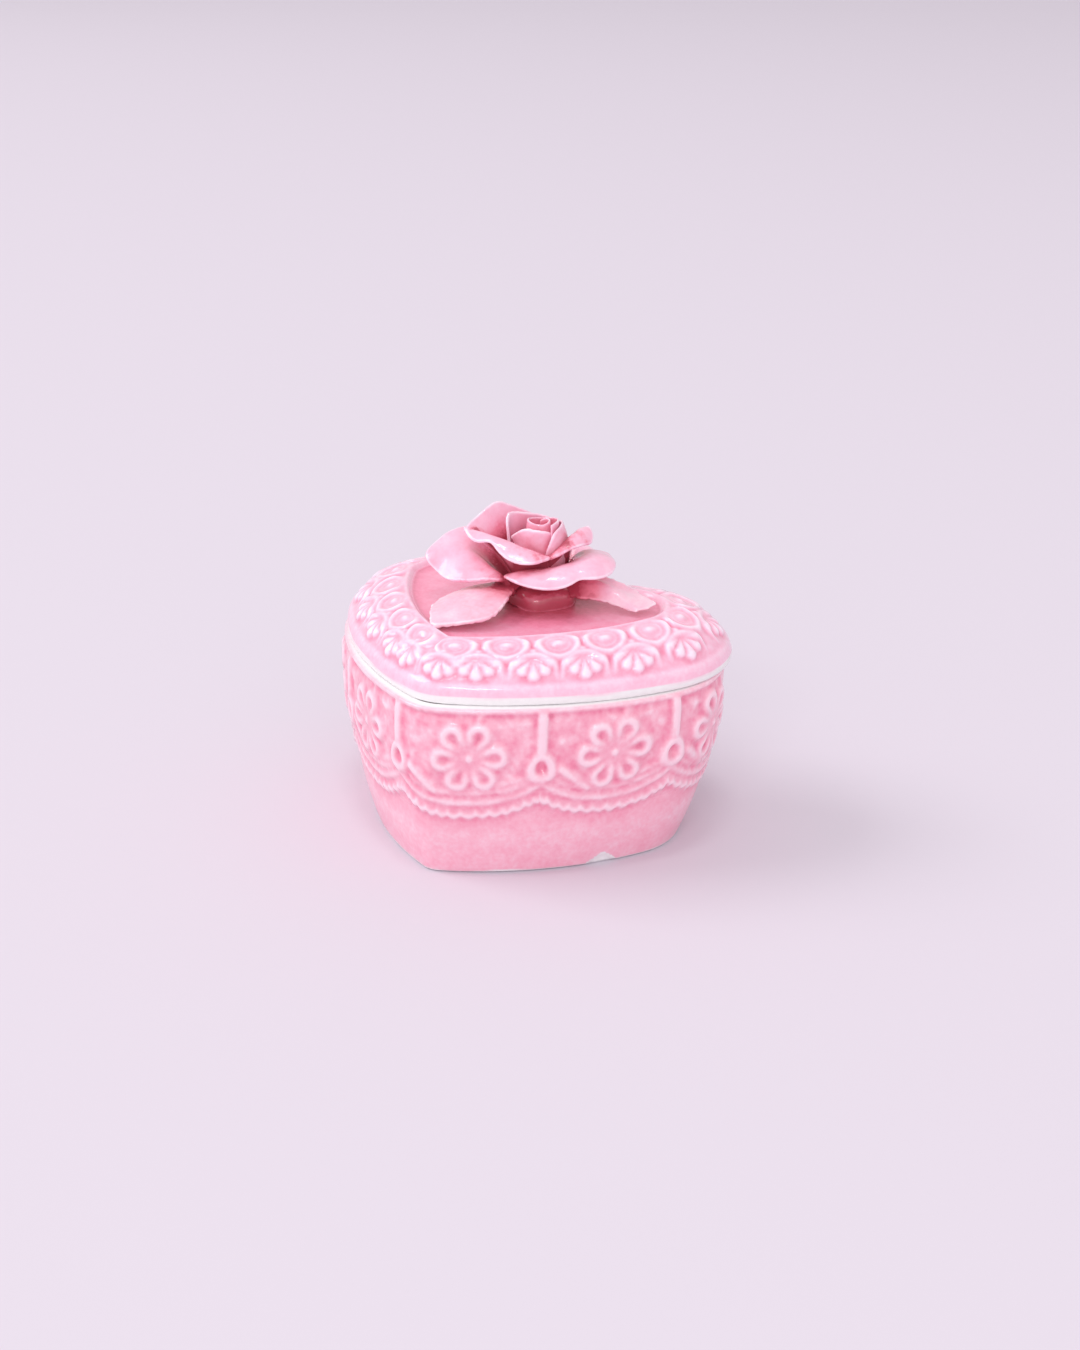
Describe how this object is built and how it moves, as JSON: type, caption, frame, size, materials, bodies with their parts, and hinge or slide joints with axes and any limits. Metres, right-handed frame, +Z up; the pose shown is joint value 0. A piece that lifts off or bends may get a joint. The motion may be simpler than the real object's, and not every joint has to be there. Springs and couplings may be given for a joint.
{
  "type": "heart-shaped trinket box",
  "caption": "Small heart-shaped porcelain box with a lift-off domed lid, embossed lace relief all round and a hand-modelled rose on top, for keeping rings and trinkets.",
  "frame": {"origin": "middle of the whole object's footprint, on the plane the foot stands on", "axes": "+X across the heart from lobe to lobe, +Y from the tip towards the lobes, +Z up, the way the lid lifts"},
  "size_m": [0.088, 0.0691, 0.067],
  "materials": {
    "base_glaze": "glossy pink glaze over white porcelain, deeper pink where it pools in the lace relief, bare white at the rim and foot",
    "lid_glaze": "glossy pink glaze over white porcelain, paler on the raised lace, bare white along the lower edge",
    "rose_glaze": "thick glossy pink glaze, pale along the thin petal lips",
    "leaf_glaze": "thick glossy pink glaze, pale along the notched edges"
  },
  "bodies": {
    "base": {"box_base": "base_glaze"},
    "lid": {"box_lid": "lid_glaze", "rose_pad": "rose_glaze", "rose_bud": "rose_glaze", "bud_spiral": "rose_glaze", "bud_petal_inner": "rose_glaze", "bud_petal_outer": "rose_glaze", "bud_petal_right": "rose_glaze", "petal_back_left": "rose_glaze", "petal_front_left": "rose_glaze", "petal_right": "rose_glaze", "petal_low_front": "rose_glaze", "petal_low_left": "rose_glaze", "petal_low_back": "rose_glaze", "leaf_left": "leaf_glaze", "leaf_right": "leaf_glaze"}
  },
  "joints": [
    {"name": "lid_lift", "type": "slide", "parent": "base", "child": "lid", "axis": [0, 0, 1], "range_m": [0, 0.06]}
  ]
}
